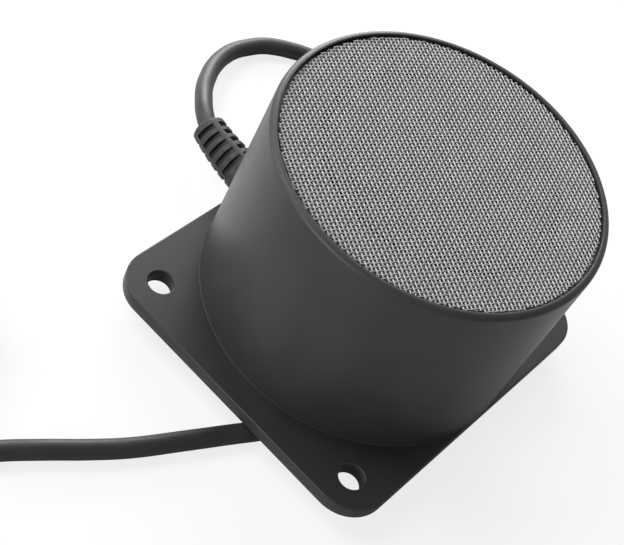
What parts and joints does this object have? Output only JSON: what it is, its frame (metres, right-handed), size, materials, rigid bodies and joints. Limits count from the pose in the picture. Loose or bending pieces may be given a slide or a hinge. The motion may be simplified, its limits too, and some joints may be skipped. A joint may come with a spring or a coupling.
{
  "type": "ultrasonic distance sensor",
  "caption": "Round flange-mounted ultrasonic distance sensor with a woven steel screen in its face and a moulded cable with a slotted strain relief.",
  "frame": {"origin": "on the housing's axis, in the plane of the four seating pads at the back of the flange", "axes": "+Z is the direction the sensor faces, +Y runs along the long side of the flange, and the cable leaves the housing towards -X"},
  "size_m": [0.1548, 0.2064, 0.0612],
  "materials": {
    "housing_plastic": "fine matt texture, black",
    "cable_sheath": "smooth satin, black",
    "steel_wire": "bright woven wire",
    "screw_steel": "zinc plated",
    "cup_aluminium": "turned",
    "soft_foam": "closed-cell foam",
    "matching_layer": "filled resin, dark grey",
    "piezo_ceramic": "fired, cream",
    "potting_resin": "cast resin, black",
    "board_laminate": "green solder mask",
    "chip_plastic": "moulded package, black",
    "ferrite": "pressed ferrite, dark grey",
    "tinned_copper": "tinned",
    "brown_lead": "insulation, brown",
    "blue_lead": "insulation, blue",
    "white_lead": "insulation, white",
    "black_lead": "insulation, black",
    "header_nylon": "natural nylon"
  },
  "bodies": {
    "root": {"housing": "housing_plastic", "mesh_screen": "steel_wire", "transducer_cup": "cup_aluminium", "radiating_disc": "matching_layer", "piezo_disc": "piezo_ceramic", "damping_block": "potting_resin", "isolation_ring": "soft_foam", "clamp_ring": "cup_aluminium", "circuit_board": "board_laminate", "step_up_transformer": "ferrite", "reservoir_capacitor": "chip_plastic", "temperature_bead": "chip_plastic", "microcontroller": "chip_plastic", "driver_chip": "chip_plastic", "voltage_regulator": "chip_plastic", "lead_header": "header_nylon", "transducer_lead_1": "brown_lead", "transducer_lead_2": "blue_lead", "supply_lead_1": "brown_lead", "supply_lead_2": "white_lead", "supply_lead_3": "blue_lead", "supply_lead_4": "black_lead", "back_cover": "housing_plastic", "cover_gasket": "soft_foam", "strain_relief": "cable_sheath", "cable": "cable_sheath", "cable_coil": "cable_sheath", "cable_tie": "cable_sheath", "cable_tail": "cable_sheath", "end_lead_1": "brown_lead", "end_lead_2": "white_lead", "end_lead_3": "blue_lead", "end_lead_4": "black_lead", "clamp_screw_1": "screw_steel", "board_screw_1": "screw_steel", "clamp_screw_2": "screw_steel", "board_screw_2": "screw_steel", "clamp_screw_3": "screw_steel", "board_screw_3": "screw_steel", "cover_screw_1": "screw_steel", "end_ferrule_1": "tinned_copper", "cover_screw_2": "screw_steel", "end_ferrule_2": "tinned_copper", "cover_screw_3": "screw_steel", "end_ferrule_3": "tinned_copper", "cover_screw_4": "screw_steel", "end_ferrule_4": "tinned_copper"}
  },
  "joints": []
}
